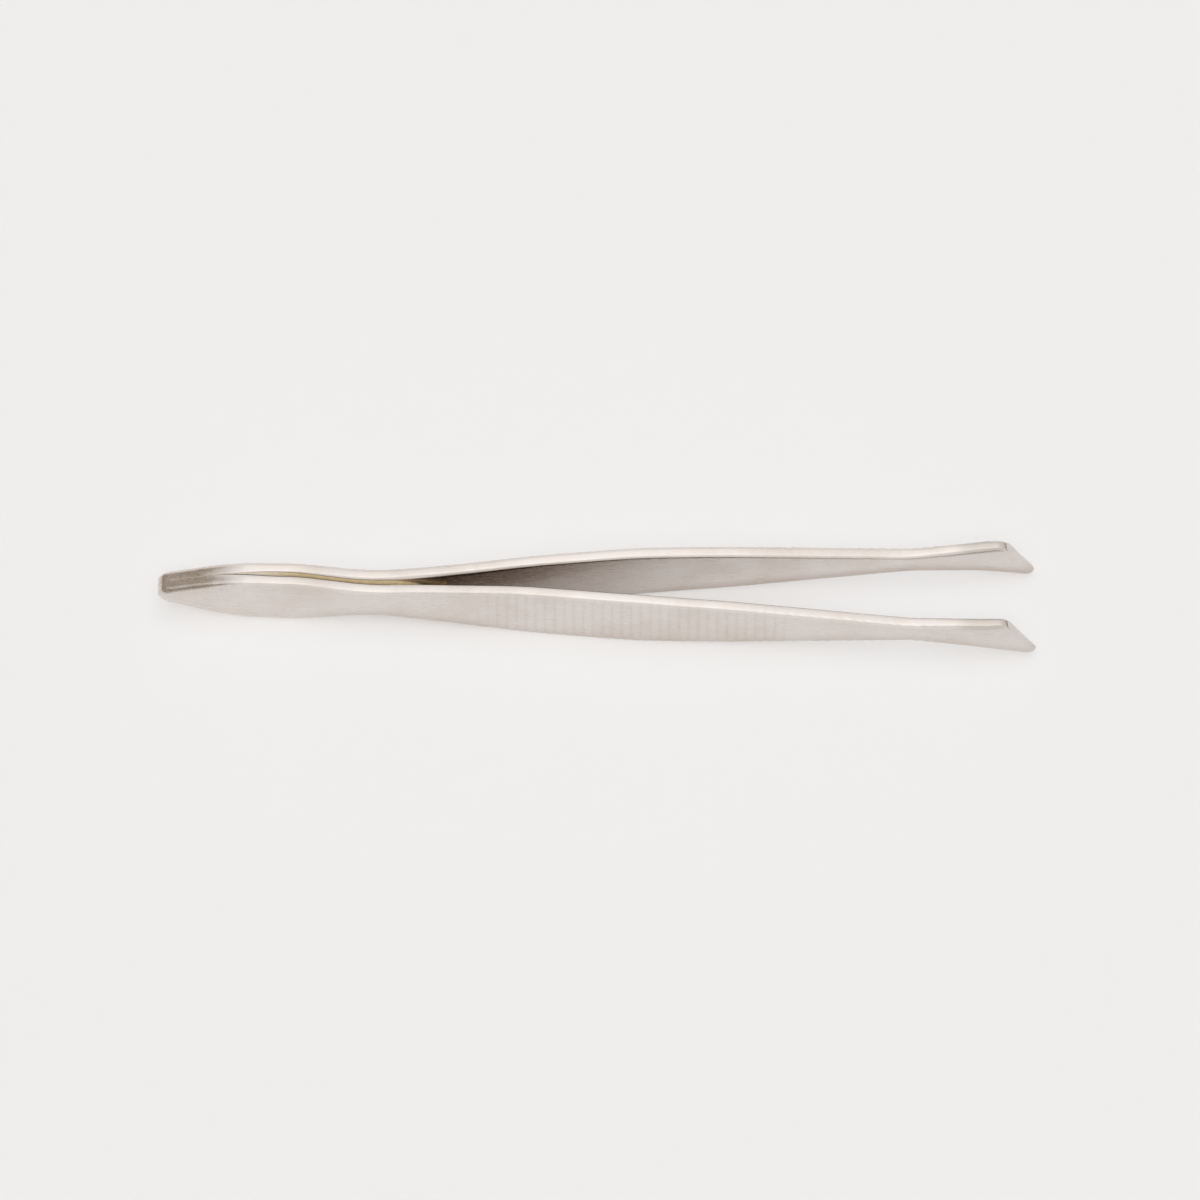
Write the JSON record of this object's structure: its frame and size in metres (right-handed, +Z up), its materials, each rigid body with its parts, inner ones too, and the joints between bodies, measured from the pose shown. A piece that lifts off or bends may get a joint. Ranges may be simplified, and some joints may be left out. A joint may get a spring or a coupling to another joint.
{
  "type": "stamp tongs",
  "caption": "Slim sprung tongs with slanted spade tips, ribbed grips and a brazed tail, for handling stamps and other thin paper pieces.",
  "frame": {"origin": "on the ground under the middle of the whole object, which lies on the lower edges of its two arms", "axes": "+X from the tail to the tips, +Y the way the tongs open, towards the rear arm, +Z up across the width of the arms"},
  "size_m": [0.115, 0.0138, 0.0097],
  "materials": {
    "nickel_plate": "polished nickel plate on stamped spring steel",
    "braze_filler": "brazing filler, dressed flush and plated over"
  },
  "bodies": {
    "tail": {"front_tail": "nickel_plate", "rear_tail": "nickel_plate", "tail_braze": "braze_filler"},
    "front_arm": {"front_blade": "nickel_plate"},
    "rear_arm": {"rear_blade": "nickel_plate"}
  },
  "joints": [
    {"name": "front_arm_flex", "type": "hinge", "parent": "tail", "child": "front_arm", "pos_m": [-0.0275, -0.00004, 0.00485], "axis": [0, 0, 1], "range_deg": [0, 3.6], "stiffness_Nm_per_rad": 1},
    {"name": "rear_arm_flex", "type": "hinge", "parent": "tail", "child": "rear_arm", "pos_m": [-0.0275, 0.0005, 0.00485], "axis": [0, 0, -1], "range_deg": [0, 3.6], "stiffness_Nm_per_rad": 1}
  ],
  "couplings": [
    {"joint": "rear_arm_flex", "follows": "front_arm_flex", "ratio": 1}
  ]
}
